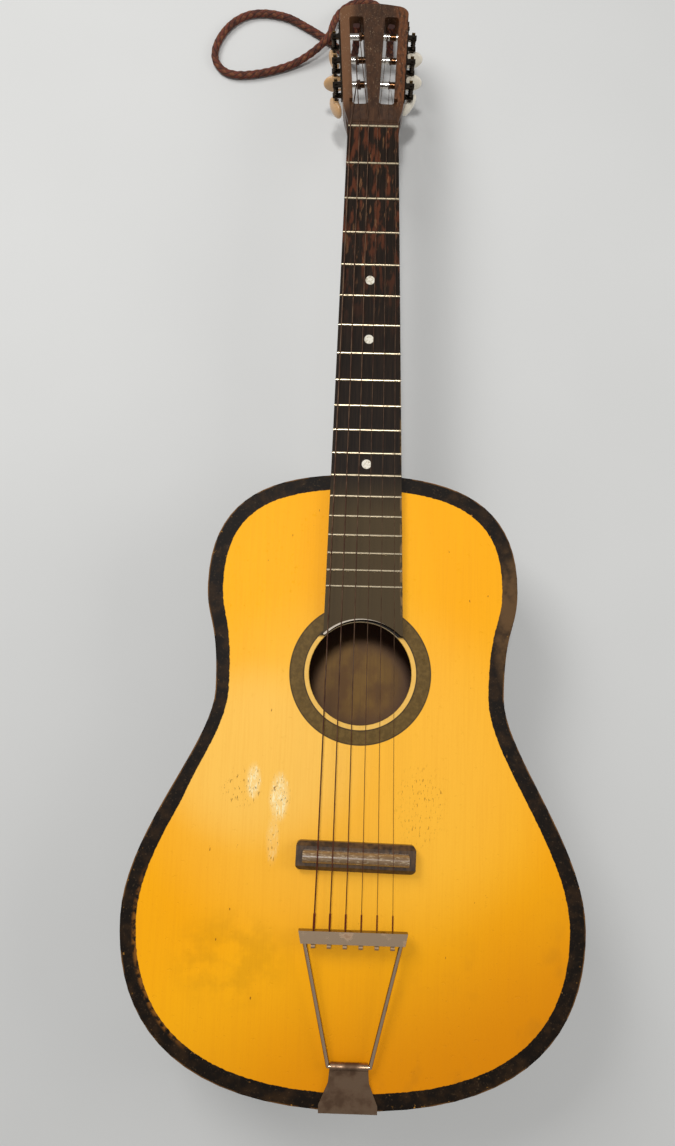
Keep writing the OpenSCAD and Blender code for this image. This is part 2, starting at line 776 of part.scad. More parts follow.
module bridge_saddle() {
    crown = crest_h - bridge_base_h;
    color("#857a66") in_row() bridge_frame() intersection() {
        translate([0, -crest_w / 2 + seat, bridge_base_h - crest_seat])
            linear_extrude(height = crown + crest_seat)
                rounded_bar(crest_len - 2 * seat, crest_w - 2 * seat, crest_corner);
        along_x(crest_len) union() {
            translate([-crest_w / 2, bridge_base_h - crest_seat - 1])
                square([crest_w, crest_seat + 1 + crest_foot]);
            polygon([for (a = [0 : 12 : 180])
                [crest_w / 2 * cos(a), bridge_base_h + crest_foot + (crown - crest_foot) * sin(a)]]);
        }
    }
}

hinge_z = body_depth + hinge_h;
wire_top_z = body_depth + bar_h;
barrel_wall = 1.3;
barrel_r = wire_r + barrel_wall;
wire_gap = 0.1;
plate_hole_gap = 0.15;
bend_run = 2;
bend_rise = 0.4;
waist_share = 0.62;
waist_flare = 1.5;
bar_taper = 2;

module tail_plate_profile() {
    t = sheet_t;
    lift = hinge_h - barrel_r;
    polygon([[-t, -plate_drop], [0, -plate_drop], [0, 0], [bend_run, bend_rise], [hinge_at, lift],
             [hinge_at, lift + t], [bend_run, bend_rise + t], [-t, t]]);
    translate([hinge_at, hinge_h]) circle(barrel_r);
}

module tailpiece_base() {
    color("#a39d94") in_row() difference() {
        intersection() {
            translate([0, -body_to, body_depth]) along_x(plate_tail_w) tail_plate_profile();
            translate([0, -body_to, 0]) linear_extrude(height = 2 * body_depth) polygon([
                [-plate_tail_w / 2, -5], [plate_tail_w / 2, -5], [plate_tail_w / 2, 5],
                [plate_top_w / 2 + waist_flare, hinge_at * waist_share],
                [plate_top_w / 2, hinge_at + barrel_r + 1], [-plate_top_w / 2, hinge_at + barrel_r + 1],
                [-plate_top_w / 2 - waist_flare, hinge_at * waist_share],
                [-plate_tail_w / 2, 5]]);
        }
        translate([-plate_tail_w, -hinge_s, hinge_z]) rotate([0, 90, 0])
            cylinder(h = 2 * plate_tail_w, r = wire_r + wire_gap);
        tail_screws_at() translate([0, 0, -sheet_t - 2]) cylinder(h = 4, r = screw_r + plate_hole_gap);
    }
}

leg_from = [hinge_half, -hinge_s, hinge_z];
leg_dir = [leg_half - hinge_half, hinge_s - bar_s - bar_w, wire_top_z - hinge_z];
leg_to = leg_from + leg_dir * (1 + 5 / norm(leg_dir));
function flip(p) = [-p.x, p.y, p.z];

module tailpiece_wire() {
    color("#a39d94") in_row() {
        rod(flip(leg_from), leg_from, wire_r);
        for (side = [0, 1]) mirror([side, 0, 0]) {
            translate(leg_from) sphere(r = wire_r);
            rod(leg_from, leg_to, wire_r);
        }
    }
}

bar_front = -bar_s;
bar_back = -bar_s - bar_w;
string_hole = 0.3;
function string_x(i, pitch) = (i - (strings + 1) / 2) * pitch;
function radius(i) = gauge[i - 1] / 2;

module tailpiece_bar() {
    top = wire_top_z + bar_deep / 2;
    color("#a39d94") in_row() difference() {
        translate([0, 0, top - bar_deep]) linear_extrude(height = bar_deep) bar_shape();
        translate([-bar_len, bar_back + sheet_t, top - bar_deep - 1])
            cube([2 * bar_len, bar_w - 2 * sheet_t, bar_deep + 1 - sheet_t]);
        for (i = [1 : strings]) rod(at_bar(i) - string_dir(i), at_bar(i) + string_dir(i) * (bar_w + 3),
            radius(i) + string_hole);
        for (side = [0, 1]) mirror([side, 0, 0]) rod(leg_from, leg_to, wire_r + wire_gap);
    }
}

module bar_shape() {
    polygon([[-bar_len / 2, bar_front], [bar_len / 2, bar_front],
             [bar_len / 2 - bar_taper, bar_back], [-bar_len / 2 + bar_taper, bar_back]]);
}

screw_head_r = 3.2;
module tailpiece_screws() {
    color("#7d776c") in_row() tail_screws_at() difference() {
        union() {
            translate([0, 0, -sheet_t]) cylinder(h = screw_len + sheet_t - 1, r = screw_r);
            translate([0, 0, -sheet_t - screw_head_h]) cylinder(h = screw_head_h, r = screw_head_r);
        }
        translate([0, 0, -sheet_t - screw_head_h]) screw_slot(screw_head_r, screw_head_h / 2);
    }
}

// ---- Swept tubes ----
function unit(v) = v / norm(v);
function tangent(line, k) = unit(line[min(k + 1, len(line) - 1)] - line[max(k - 1, 0)]);
function square_to(v, t) = unit(v - (v * t) * t);
function ring(p, t, n, r, sides) = let (b = cross(t, n))
    [for (j = [0 : sides - 1]) let (a = 360 * j / sides) p + r * (n * cos(a) + b * sin(a))];

// A closed tube through a line of points, with one radius at each point.
module tube(line, radii, sides, start) {
    count = len(line);
    last = sides * (count - 1);
    rings = [for (k = 0, n = square_to(start, tangent(line, 0)); k < count;
                  k = k + 1, n = k < count ? square_to(n, tangent(line, k)) : n)
                each ring(line[k], tangent(line, k), n, radii[k], sides)];
    polyhedron(rings, concat(
        [[for (j = [0 : sides - 1]) j]],
        [[for (j = [sides - 1 : -1 : 0]) last + j]],
        [for (k = [0 : count - 2], j = [0 : sides - 1]) let (i = (j + 1) % sides, a = k * sides)
            [a + j, a + sides + j, a + sides + i, a + i]]));
}

// ---- Strings ----
wrap_x = [-14, -14, -18.5];
wraps = 2.75;
wrap_pitch = 1.075;
wrap_steps = 16;
string_sides = 8;
lock_swell = 0.4;
lock_from = 1;
lock_taper = 0.5;
ball_r = 2;
ball_w = 3.2;
ball_back = 2.2;

function at_bar(i) = [string_x(i, bar_pitch), bar_back, wire_top_z];
function at_crest(i) = [string_x(i, bridge_pitch), -saddle_s, body_depth + crest_h + radius(i) + seat];
function string_dir(i) = unit(at_crest(i) - at_bar(i));
function at_nut(i) =
    neck_point([string_x(i, nut_pitch), body_from, board_neck_t + fret_h + radius(i) + seat]);
function wrap_r(i) = roller_r + wrap_gap + radius(i);
function wrap_point(i, a) = side_point(machine_side(i), [
    wrap_x[machine_row(i)] - a / 360 * wrap_pitch * gauge[i - 1],
    roller_at(machine_row(i)) + wrap_r(i) * sin(a),
    -roller_depth + wrap_r(i) * cos(a)]);
function string_line(i) = concat(
    [at_bar(i) - string_dir(i) * (ball_back - 1)],
    [for (u = [lock_from, lock_from + lock_taper, lock_len, lock_len + lock_taper])
        at_bar(i) + string_dir(i) * (bar_w + u)],
    [at_crest(i), at_nut(i)],
    [for (k = [0 : wraps * wrap_steps]) wrap_point(i, 360 * k / wrap_steps)]);

module guitar_string(i) {
    line = string_line(i);
    color("#6b4630") in_row() {
        tube(line, [for (k = [0 : len(line) - 1]) radius(i) + (k == 2 || k == 3 ? lock_swell : 0)],
             string_sides, [1, 0, 0]);
        translate(at_bar(i) + [0, -ball_back, 0]) rotate([0, 90, 0])
            cylinder(h = ball_w, r = ball_r, center = true);
    }
}

// ---- Hanging cord ----
// From the top of the bass slot down to the floor, out in a loop, over itself and up the treble slot.
cord_sides = 10;
cord_steps = 2;
cord_route = [
    [-21, 471, 57], [-21, 468, 46], [-21, 466, 35], [-22, 466, 25], [-24, 469, 16], [-29, 476, 8],
    [-37, 486, 4], [-48, 496, 4], [-60, 504, 4], [-75, 513, 4], [-90, 521, 4], [-105, 525, 4],
    [-120, 526, 4], [-135, 523, 4], [-149, 514, 4], [-160, 500, 4], [-166, 484, 4], [-165, 470, 4],
    [-156, 459, 4], [-142, 455, 4], [-122, 457, 4], [-103, 462, 4], [-84, 469, 5], [-69, 477, 8],
    [-56, 487, 11], [-48, 498, 12], [-45, 511, 10], [-41, 524, 6], [-33, 535, 4], [-20, 542, 4],
    [-5, 541, 4], [7, 532, 4], [13, 517, 4], [14, 501, 4], [14, 487, 6], [14, 476, 12],
    [14, 469, 22], [13, 467, 34], [13, 468, 46], [13, 471, 57]];

function route_point(k) = cord_route[min(max(k, 0), len(cord_route) - 1)];
function route_curve(k, t) =
    let (a = route_point(k - 1), b = route_point(k), c = route_point(k + 1), d = route_point(k + 2))
    (2 * b + t * (c - a) + t * t * (2 * a - 5 * b + 4 * c - d) + t * t * t * (3 * b - a - 3 * c + d)) / 2;
cord_line = concat(
    [for (k = [0 : len(cord_route) - 2], j = [0 : cord_steps - 1]) route_curve(k, j / cord_steps)],
    [cord_route[len(cord_route) - 1]]);

module hanging_cord() {
    color("#7a3b28") tube(cord_line, [for (p = cord_line) cord_d / 2], cord_sides, [1, 0, 0]);
}

soundboard();
back_plate();
side_bass();
side_treble();
neck_block();
tail_block();
linings();
top_braces();
back_braces();
neck();
fingerboard();
frets();
string_guide();
position_dots();
bridge_base();
bridge_saddle();
tailpiece_base();
tailpiece_wire();
tailpiece_bar();
tailpiece_screws();
tuner_plate_bass();
tuner_plate_treble();
tuner_plate_screws();
for (i = [1 : strings]) {
    guitar_string(i);
    worm_shaft(i);
    button(i);
    gear(i);
    gear_screw(i);
    roller(i);
}
hanging_cord();
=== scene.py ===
import math

import bmesh
import bpy
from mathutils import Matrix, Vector


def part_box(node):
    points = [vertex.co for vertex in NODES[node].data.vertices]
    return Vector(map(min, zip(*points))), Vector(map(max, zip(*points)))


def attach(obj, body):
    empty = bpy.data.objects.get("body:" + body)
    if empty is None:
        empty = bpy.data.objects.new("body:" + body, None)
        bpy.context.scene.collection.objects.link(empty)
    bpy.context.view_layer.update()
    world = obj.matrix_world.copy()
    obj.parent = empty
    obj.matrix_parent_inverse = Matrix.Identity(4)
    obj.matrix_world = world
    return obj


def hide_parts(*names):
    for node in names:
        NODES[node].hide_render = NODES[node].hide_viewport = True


# A worn folk guitar on its back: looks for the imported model. Metres, in the model's own frame:
# +Y runs to the head, +X to the treble side, +Z up out of the soundboard.

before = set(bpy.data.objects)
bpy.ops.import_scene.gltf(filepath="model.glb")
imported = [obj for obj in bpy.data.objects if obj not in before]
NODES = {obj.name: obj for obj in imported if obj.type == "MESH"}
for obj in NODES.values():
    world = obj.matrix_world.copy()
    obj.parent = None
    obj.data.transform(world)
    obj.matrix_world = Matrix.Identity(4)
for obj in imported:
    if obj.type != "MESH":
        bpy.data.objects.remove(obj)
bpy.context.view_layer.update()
STRINGS = 6
SCENE = bpy.context.scene

# ---- Camera ----
CAMERA_PLACE = (-0.0204, -0.1716, 0.8199)
CAMERA_TURN = (7.81, -0.16, 1.89)
CAMERA_LENS = 27.23
SENSOR_WIDTH = 36
NEAREST = 0.01


def make_camera():
    """A wide view from above the waist, tilted a little towards the head."""
    data = bpy.data.cameras.new("camera")
    data.sensor_width = SENSOR_WIDTH
    data.lens = CAMERA_LENS
    data.clip_start = NEAREST
    camera = bpy.data.objects.new("camera", data)
    camera.location = CAMERA_PLACE
    camera.rotation_euler = [math.radians(angle) for angle in CAMERA_TURN]
    SCENE.collection.objects.link(camera)
    SCENE.camera = camera


make_camera()


# ---- Node trees ----
COAT_ROUGHNESS = 0.18


def linear(red, green, blue):
    """A colour given as it looks on screen, 0 to 255, as the shader's own linear values."""
    def channel(value):
        value /= 255
        return value / 12.92 if value <= 0.04045 else ((value + 0.055) / 1.055) ** 2.4
    return (channel(red), channel(green), channel(blue), 1)


class Finish:
    """A material whose nodes are added by short calls. Positions are object coordinates, in metres."""

    def __init__(self, name, roughness=0.5, metallic=0.0, coat=0.0, specular=0.5):
        self.material = bpy.data.materials.new(name)
        self.material.use_nodes = True
        self.nodes = self.material.node_tree.nodes
        self.links = self.material.node_tree.links
        self.shader = self.nodes["Principled BSDF"]
        self.shader.inputs["Roughness"].default_value = roughness
        self.shader.inputs["Metallic"].default_value = metallic
        self.shader.inputs["Coat Weight"].default_value = coat
        self.shader.inputs["Specular IOR Level"].default_value = specular
        self.shader.inputs["Coat Roughness"].default_value = COAT_ROUGHNESS
        self.place = self.nodes.new("ShaderNodeTexCoord").outputs["Object"]
        split = self.nodes.new("ShaderNodeSeparateXYZ")
        self.links.new(self.place, split.inputs[0])
        self.x, self.y, self.z = split.outputs

    def put(self, socket, value):
        """A link or a plain value into a socket."""
        if isinstance(value, bpy.types.NodeSocket):
            self.links.new(value, socket)
        else:
            socket.default_value = value

    def math(self, operation, a, b=0.0):
        node = self.nodes.new("ShaderNodeMath")
        node.operation = operation
        self.put(node.inputs[0], a)
        self.put(node.inputs[1], b)
        return node.outputs[0]

    def scaled(self, x, y, z, shift=0.0):
        node = self.nodes.new("ShaderNodeMapping")
        self.links.new(self.place, node.inputs["Vector"])
        node.inputs["Scale"].default_value = (x, y, z)
        node.inputs["Location"].default_value = (shift, shift, shift)
        return node.outputs[0]

    def noise(self, scale, detail=3.0, stretch=(1, 1, 1), shift=0.0, rough=0.55):
        """Noise with about `scale` features a metre, drawn out along an axis by a smaller stretch."""
        node = self.nodes.new("ShaderNodeTexNoise")
        node.inputs["Scale"].default_value = 1.0
        node.inputs["Detail"].default_value = detail
        node.inputs["Roughness"].default_value = rough
        self.links.new(self.scaled(*[scale * part for part in stretch], shift), node.inputs["Vector"])
        return node.outputs["Fac"]

    def step(self, value, start, end):
        """0 below start, 1 above end, smooth between; start may be the larger."""
        node = self.nodes.new("ShaderNodeMapRange")
        node.interpolation_type = "SMOOTHSTEP"
        self.put(node.inputs["Value"], value)
        turned = start > end
        node.inputs["From Min"].default_value = end if turned else start
        node.inputs["From Max"].default_value = start if turned else end
        node.inputs["To Min"].default_value = 1.0 if turned else 0.0
        node.inputs["To Max"].default_value = 0.0 if turned else 1.0
        return node.outputs[0]

    def mix(self, share, a, b):
        node = self.nodes.new("ShaderNodeMix")
        node.data_type = "RGBA"
        self.put(node.inputs["Factor"], share)
        self.put(node.inputs["A"], a)
        self.put(node.inputs["B"], b)
        return node.outputs["Result"]

    def times(self, a, *others):
        for b in others:
            a = self.math("MULTIPLY", a, b)
        return a

    def spot(self, x, y, width, length):
        """1 at the middle of an oval on the board, fading to 0 at its edge."""
        along = self.math("DIVIDE", self.math("SUBTRACT", self.y, y), length / 2)
        across = self.math("DIVIDE", self.math("SUBTRACT", self.x, x), width / 2)
        square = self.math("ADD", self.times(along, along), self.times(across, across))
        return self.step(square, 1.0, 0.15)

    def from_hole(self):
        """Distance from the upright line through the soundhole's centre."""
        dx, dy = self.math("SUBTRACT", self.x, HOLE_AT.x), self.math("SUBTRACT", self.y, HOLE_AT.y)
        return self.math("SQRT", self.math("ADD", self.times(dx, dx), self.times(dy, dy)))

    def from_middle(self, value):
        """0 in the middle of each whole step of a value, 1 at its ends."""
        return self.math("ABSOLUTE", self.math("SUBTRACT", self.times(self.math("FRACT", value), 2.0), 1.0))

    def facing_up(self):
        """The upward part of the surface's normal, -1 to 1."""
        split = self.nodes.new("ShaderNodeSeparateXYZ")
        self.links.new(self.nodes.new("ShaderNodeNewGeometry").outputs["Normal"], split.inputs[0])
        return split.outputs[2]

    def bump(self, height, depth):
        node = self.nodes.new("ShaderNodeBump")
        node.inputs["Strength"].default_value = 1.0
        node.inputs["Distance"].default_value = depth
        self.put(node.inputs["Height"], height)
        self.links.new(node.outputs["Normal"], self.shader.inputs["Normal"])

    def colour(self, value):
        self.put(self.shader.inputs["Base Color"], value)

    def roughness(self, share, low, high):
        node = self.nodes.new("ShaderNodeMapRange")
        self.put(node.inputs["Value"], share)
        node.inputs["To Min"].default_value = low
        node.inputs["To Max"].default_value = high
        self.links.new(node.outputs[0], self.shader.inputs["Roughness"])


# ---- The hanging cord ----
CORD_DIAMETER = 0.0075
CORD_STEPS = 20
CORD_SIDES = 32
BRAID_STRANDS = 4
BRAID_LENGTH = 0.0085
BRAID_RELIEF = 0.0007
BRAID_SAG = 0.45
MM_PER_METRE = 1000
# Millimetres, from the bass slot of the head to the treble one.
CORD_ROUTE = [
    (-21, 471, 57), (-21, 468, 46), (-21, 466, 35), (-22, 466, 25), (-24, 469, 16), (-29, 476, 8),
    (-37, 486, 4), (-48, 496, 4), (-60, 504, 4), (-75, 513, 4), (-90, 521, 4), (-105, 525, 4),
    (-120, 526, 4), (-135, 523, 4), (-149, 514, 4), (-160, 500, 4), (-166, 484, 4), (-165, 470, 4),
    (-156, 459, 4), (-142, 455, 4), (-122, 457, 4), (-103, 462, 4), (-84, 469, 5), (-69, 477, 8),
    (-56, 487, 11), (-48, 498, 12), (-45, 511, 10), (-41, 524, 6), (-33, 535, 4), (-20, 542, 4),
    (-5, 541, 4), (7, 532, 4), (13, 517, 4), (14, 501, 4), (14, 487, 6), (14, 476, 12),
    (14, 469, 22), (13, 467, 34), (13, 468, 46), (13, 471, 57)]


def smooth_route(points, steps):
    """A smooth curve through points given in millimetres, in metres."""
    points = [Vector(p) / MM_PER_METRE for p in points]
    line = []
    for k in range(len(points) - 1):
        a, b, c, d = (points[min(max(k + j, 0), len(points) - 1)] for j in (-1, 0, 1, 2))
        for j in range(steps):
            t = j / steps
            line.append((2 * b + t * (c - a) + t * t * (2 * a - 5 * b + 4 * c - d)
                         + t * t * t * (3 * b - a - 3 * c + d)) / 2)
    return line + [points[-1]]


def route_length(line):
    return sum((b - a).length for a, b in zip(line, line[1:]))


def braid_relief(turn, along):
    """Height of a round braid's surface, 0 to 1, where two families of strands cross."""
    first, second = turn * BRAID_STRANDS + along, turn * BRAID_STRANDS - along
    over = first if (math.floor(first) + math.floor(second)) % 2 == 0 else second
    under = second if over == first else first
    across, lengthwise = 2 * (over % 1) - 1, 2 * (under % 1) - 1
    return (1 - across * across) * (1 - BRAID_SAG * lengthwise * lengthwise)


def make_cord():
    """A braided tube whose strands stand up from its surface."""
    line = smooth_route(CORD_ROUTE, CORD_STEPS)
    mesh = bmesh.new()
    uv = mesh.loops.layers.uv.new("braid")
    side, travelled, rings, marks = Vector((1, 0, 0)), 0.0, [], []
    for k, point in enumerate(line):
        ahead = (line[min(k + 1, len(line) - 1)] - line[max(k - 1, 0)]).normalized()
        side = (side - side.dot(ahead) * ahead).normalized()
        up = ahead.cross(side)
        travelled += (point - line[k - 1]).length if k else 0.0
        marks.append(travelled / BRAID_LENGTH)
        ring = []
        for j in range(CORD_SIDES):
            turn = j / CORD_SIDES
            low = braid_relief(turn, marks[-1]) - 1
            radius = CORD_DIAMETER / 2 + BRAID_RELIEF * low
            angle = math.tau * turn
            ring.append(mesh.verts.new(point + radius * (math.cos(angle) * side + math.sin(angle) * up)))
        rings.append(ring)
    for k in range(len(rings) - 1):
        for j in range(CORD_SIDES):
            n = (j + 1) % CORD_SIDES
            face = mesh.faces.new((rings[k][j], rings[k][n], rings[k + 1][n], rings[k + 1][j]))
            face.smooth = True
            corners = ((j, k), (j + 1, k), (j + 1, k + 1), (j, k + 1))
            for loop, (turn, row) in zip(face.loops, corners):
                loop[uv].uv = (turn / CORD_SIDES, marks[row])
    mesh.faces.new(list(reversed(rings[0])))
    mesh.faces.new(rings[-1])
    cord = add_mesh("braided_cord", mesh)
    cord.data.materials.append(braid_finish())
    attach(cord, "guitar")
    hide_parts("hanging_cord")
    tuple(line[0])
    route_length(line)


def add_mesh(name, mesh):
    """A mesh put in the scene as an object of its own."""
    data = bpy.data.meshes.new(name)
    mesh.to_mesh(data)
    mesh.free()
    piece = bpy.data.objects.new(name, data)
    SCENE.collection.objects.link(piece)
    return piece


def braid_finish():
    """Red-brown strands one way round, ochre ones the other, with pale fibres, dirt, and painted shade in the
    seams between strands.
    """
    f = Finish("braid", roughness=0.85)
    uv = f.nodes.new("ShaderNodeUVMap")
    uv.uv_map = "braid"
    split = f.nodes.new("ShaderNodeSeparateXYZ")
    f.links.new(uv.outputs[0], split.inputs[0])
    round_cord, along = f.times(split.outputs[0], float(BRAID_STRANDS)), split.outputs[1]
    first, second = f.math("ADD", round_cord, along), f.math("SUBTRACT", round_cord, along)
    cell = f.math("ADD", f.math("FLOOR", first), f.math("FLOOR", second))
    odd = f.math("ABSOLUTE", f.math("MODULO", cell, 2.0))
    over = f.math("ADD", f.times(first, f.math("SUBTRACT", 1.0, odd)), f.times(second, odd))
    strand = f.mix(f.times(odd, 0.55), linear(104, 46, 30), linear(134, 84, 48))
    strand = f.mix(f.step(f.noise(130, 4), 0.42, 0.66), strand, linear(76, 36, 24))
    fibre = f.step(f.noise(1300, 3, shift=5.0), 0.62, 0.70)
    strand = f.mix(f.times(fibre, 0.45), strand, linear(196, 142, 104))
    # Painted shade: dark seams where the strands meet, strongest along one family of strands.
    between = f.times(f.step(f.from_middle(over), 0.60, 0.98), 0.55)
    diagonal = f.times(f.step(f.from_middle(first), 0.62, 0.96), 0.85)
    f.colour(f.mix(f.math("MAXIMUM", between, diagonal), strand, linear(34, 15, 10)))
    f.bump(f.noise(2200, 3), 0.0003)
    return f.material


make_cord()


# ---- The soundboard's outline ----
WELD = 0.00001
FLAT = 0.00002


def top_loops(node):
    """The rims of a flat board's top face, longest first, each as a list of points in order."""
    mesh = bmesh.new()
    mesh.from_mesh(NODES[node].data)
    bmesh.ops.remove_doubles(mesh, verts=mesh.verts, dist=WELD)
    top = max(v.co.z for v in mesh.verts)
    flat = {f for f in mesh.faces if all(top - v.co.z < FLAT for v in f.verts)}
    rims = [e for e in mesh.edges if sum(f in flat for f in e.link_faces) == 1]
    beside = {}
    for edge in rims:
        for a, b in (edge.verts, reversed(edge.verts)):
            beside.setdefault(a, []).append(b)
    loops = []
    while beside:
        start = next(iter(beside))
        loop, last, at = [start], None, start
        while True:
            ahead = [v for v in beside[at] if v != last]
            last, at = at, ahead[0]
            if at == start:
                break
            loop.append(at)
        for vertex in loop:
            del beside[vertex]
        loops.append([v.co.copy() for v in loop])
    mesh.free()
    loops.sort(key=lambda loop: -sum((a - b).length for a, b in zip(loop, loop[1:])))
    return [anticlockwise(loop) for loop in loops], top


def anticlockwise(loop):
    """The loop's points in anticlockwise order, as seen from above."""
    area = sum(a.x * b.y - b.x * a.y for a, b in zip(loop, loop[1:] + loop[:1]))
    return loop if area > 0 else loop[::-1]


def inset(loop, distance):
    """The loop moved inwards by a distance; a negative one moves it outwards."""
    moved = []
    for k, point in enumerate(loop):
        along = (loop[(k + 1) % len(loop)] - loop[k - 1]).normalized()
        moved.append(point + distance * Vector((-along.y, along.x, 0)))
    return moved


(OUTLINE, HOLE_RIM), BOARD_TOP = top_loops("soundboard")
HOLE_AT = sum(HOLE_RIM, Vector()) / len(HOLE_RIM)

# ---- Places that the finishes follow ----
# Each flaked patch: x, y, width, length, how strong its painted glint is, how pitted.
FLAKED = ((-0.0845, -0.246, 0.016, 0.038, 0.9, 0.6),
          (-0.063, -0.258, 0.021, 0.050, 1.0, 0.9),
          (-0.067, -0.292, 0.014, 0.050, 0.35, 0.9),
          (-0.094, -0.252, 0.040, 0.040, 0.0, 0.8),
          (0.052, -0.262, 0.050, 0.080, 0.0, 0.6))
# Distances from the board's edge, and from the soundhole's centre.
BORDER_EDGE = (0.0131, 0.0127)
ROSETTE_EDGE = (0.0592, 0.0586)
CREAM_EDGE = (0.0466, 0.0462)
HOLE_LIP = (0.0434, 0.0430)
OUTER_LINE = ((0.0576, 0.0583), (0.0592, 0.0588))
INNER_LINE = ((0.0462, 0.0465), (0.0478, 0.0470))
BOARD_ARC_LIP = (0.0453, 0.0448)
# Heights: the fingerboard's top edge, the sides' upper edge, the back's outer skin.
BOARD_LIP_TOP = (0.1004, 0.1010)
SIDE_TOP = (0.086, 0.0925)
BACK_SKIN = (0.0010, 0.0016)
# Places along the guitar: where the head, the strings' locks and their ball ends begin.
HEAD_FROM = (0.352, 0.372)
LOCK_FROM = (-0.340, -0.346)
BALL_FROM = (-0.362, -0.365)
# Distances from the hole's centre along the guitar: where the rosette meets the fingerboard's end and its
# painted shadow falls.
NECK_SHADOW = (0.0285, 0.0315)
# The painted pool of light on the back, seen through the hole: how far below the hole's centre, width,
# length.
LIT_BACK = (0.006, 0.100, 0.094)
# How the fingerboard's treble side runs: its slope, and where its worn edge lies.
BOARD_SLOPE = 0.0217
BOARD_WORN = (0.0285, 0.0300)
# Distance of the rollers' middle from the head's centre line, and of their ends, painted bright as
# highlights, from it.
ROLLER_MIDDLE = 0.0148
ROLLER_BRIGHT = (0.0026, 0.0042)
WINDING_SCALE = 320.0


